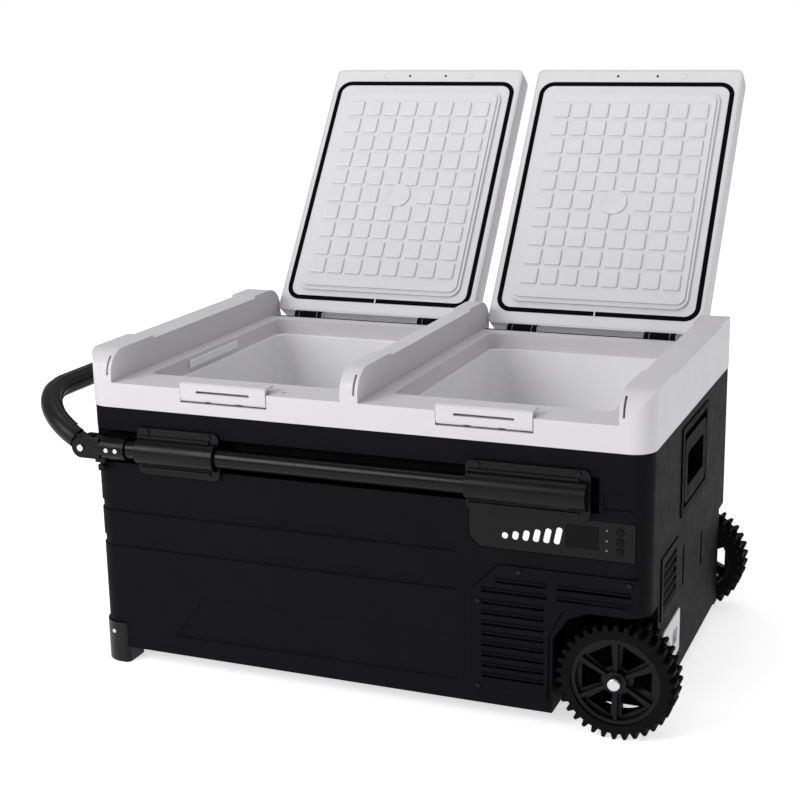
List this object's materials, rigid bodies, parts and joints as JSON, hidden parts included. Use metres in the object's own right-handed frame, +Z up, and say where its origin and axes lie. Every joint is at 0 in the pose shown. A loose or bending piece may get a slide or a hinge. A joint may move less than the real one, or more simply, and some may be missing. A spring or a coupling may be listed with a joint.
{
  "type": "compressor cooler fridge",
  "caption": "Wheeled dual-zone compressor cooler: insulated chest with hinged lids, telescopic pull handle, louvred machine bay, control panel and wheels.",
  "frame": {"origin": "bottom centre of the whole object's box, on the floor, lids open as stored", "axes": "+X towards the wheeled end, -Y is the front with the control panel, +Z up"},
  "size_m": [0.9774, 0.8666, 0.8257],
  "materials": {
    "casing_plastic": "fine textured moulding",
    "rim_plastic": "light grey satin moulding",
    "liner_plastic": "smooth light grey food-safe liner",
    "foam": "closed-cell insulation foam",
    "aluminium_sheet": "mill finish",
    "steel_pin": "zinc plated",
    "black_screw": "black oxide",
    "gloss_black": "semi-gloss moulding",
    "tube_black": "black anodised aluminium tube",
    "grip_black": "soft-touch rubber",
    "tyre_black": "moulded tread",
    "gasket_rubber": "soft seal",
    "window": "smoked display window",
    "lamp": "frosted diffuser",
    "key_black": "soft keys",
    "inlet_grey": "light grey socket plate",
    "compressor_paint": "black enamel",
    "controller_case": "die-cast lid",
    "copper": "copper pipe"
  },
  "bodies": {
    "cabinet": {"outer_casing": "casing_plastic", "insulation_foam": "foam", "top_rim": "rim_plastic", "left_liner": "liner_plastic", "right_liner": "liner_plastic", "left_evaporator": "aluminium_sheet", "right_evaporator": "aluminium_sheet", "hinge_pins": "steel_pin", "latch_pins": "steel_pin", "led_lamp": "lamp", "bracket_screws": "black_screw", "wheel_axle": "steel_pin", "axle_nuts": "steel_pin", "corner_feet": "grip_black", "front_vent_cover": "casing_plastic", "cover_screws": "black_screw", "end_vent_grille": "casing_plastic", "control_panel": "gloss_black", "display_window": "window", "end_handle_cup": "gloss_black", "end_handle_pins": "steel_pin", "power_inlet": "inlet_grey", "compressor": "compressor_paint", "compressor_grommets": "gasket_rubber", "condenser": "aluminium_sheet", "fan_shroud": "gloss_black", "controller": "controller_case", "pipework": "copper", "front_bracket_left": "gloss_black", "back_bracket_left": "gloss_black", "front_bracket_right": "gloss_black", "back_bracket_right": "gloss_black"},
    "pull_handle": {"front_pull_tube": "tube_black", "back_pull_tube": "tube_black", "front_tube_elbow": "gloss_black", "back_tube_elbow": "gloss_black", "elbow_pins": "steel_pin"},
    "grip": {"pull_grip": "grip_black"},
    "front_lock": {"front_lock_knob": "gloss_black"},
    "back_lock": {"back_lock_knob": "gloss_black"},
    "left_lid": {"left_lid_shell": "rim_plastic", "left_lid_liner": "liner_plastic", "left_lid_foam": "foam", "left_lid_gasket": "gasket_rubber"},
    "right_lid": {"right_lid_shell": "rim_plastic", "right_lid_liner": "liner_plastic", "right_lid_foam": "foam", "right_lid_gasket": "gasket_rubber"},
    "left_catch": {"left_latch": "rim_plastic"},
    "right_catch": {"right_latch": "rim_plastic"},
    "front_wheel": {"front_tyre": "tyre_black", "front_wheel_rim": "gloss_black"},
    "back_wheel": {"back_tyre": "tyre_black", "back_wheel_rim": "gloss_black"},
    "fan": {"fan_impeller": "gloss_black"},
    "power_key": {"power_button": "key_black"},
    "up_key": {"up_button": "key_black"},
    "down_key": {"down_button": "key_black"},
    "drop_handle": {"end_handle": "gloss_black"},
    "drain": {"drain_plug": "gasket_rubber"}
  },
  "joints": [
    {"name": "left_lid_hinge", "type": "hinge", "parent": "cabinet", "child": "left_lid", "pos_m": [-0.14925, 0.1107, 0.428], "axis": [1, 0, 0], "range_deg": [0, 126]},
    {"name": "left_catch_pivot", "type": "hinge", "parent": "cabinet", "child": "left_catch", "pos_m": [-0.14925, -0.4053, 0.415], "axis": [1, 0, 0], "range_deg": [-6, 65]},
    {"name": "right_lid_hinge", "type": "hinge", "parent": "cabinet", "child": "right_lid", "pos_m": [0.23075, 0.1107, 0.428], "axis": [1, 0, 0], "range_deg": [0, 126]},
    {"name": "right_catch_pivot", "type": "hinge", "parent": "cabinet", "child": "right_catch", "pos_m": [0.23075, -0.4053, 0.415], "axis": [1, 0, 0], "range_deg": [-6, 65]},
    {"name": "pull_handle_slide", "type": "slide", "parent": "cabinet", "child": "pull_handle", "axis": [-1, 0, 0], "range_m": [0, 0.3]},
    {"name": "grip_tilt", "type": "hinge", "parent": "pull_handle", "child": "grip", "pos_m": [-0.37326, -0.1393, 0.333], "axis": [0, 1, 0], "range_deg": [-30, 35]},
    {"name": "front_lock_pull", "type": "slide", "parent": "pull_handle", "child": "front_lock", "axis": [0, 0, -1], "range_m": [0, 0.004], "stiffness_N_per_m": 400},
    {"name": "front_wheel_spin", "type": "hinge", "parent": "cabinet", "child": "front_wheel", "pos_m": [0.40875, -0.3843, 0.08], "axis": [0, 1, 0], "continuous": true},
    {"name": "back_lock_pull", "type": "slide", "parent": "pull_handle", "child": "back_lock", "axis": [0, 0, -1], "range_m": [0, 0.004], "stiffness_N_per_m": 400},
    {"name": "back_wheel_spin", "type": "hinge", "parent": "cabinet", "child": "back_wheel", "pos_m": [0.40875, 0.1057, 0.08], "axis": [0, 1, 0], "continuous": true},
    {"name": "fan_spin", "type": "hinge", "parent": "cabinet", "child": "fan", "pos_m": [0.26475, -0.3553, 0.13], "axis": [0, 1, 0], "continuous": true},
    {"name": "power_key_press", "type": "slide", "parent": "cabinet", "child": "power_key", "axis": [0, 1, 0], "range_m": [0, 0.001], "stiffness_N_per_m": 300},
    {"name": "up_key_press", "type": "slide", "parent": "cabinet", "child": "up_key", "axis": [0, 1, 0], "range_m": [0, 0.001], "stiffness_N_per_m": 300},
    {"name": "down_key_press", "type": "slide", "parent": "cabinet", "child": "down_key", "axis": [0, 1, 0], "range_m": [0, 0.001], "stiffness_N_per_m": 300},
    {"name": "drop_handle_hinge", "type": "hinge", "parent": "cabinet", "child": "drop_handle", "pos_m": [0.44475, -0.1393, 0.35], "axis": [0, -1, 0], "range_deg": [0, 80]},
    {"name": "drain_plug_pull", "type": "slide", "parent": "cabinet", "child": "drain", "axis": [-1, 0, 0], "range_m": [0, 0.032]}
  ]
}
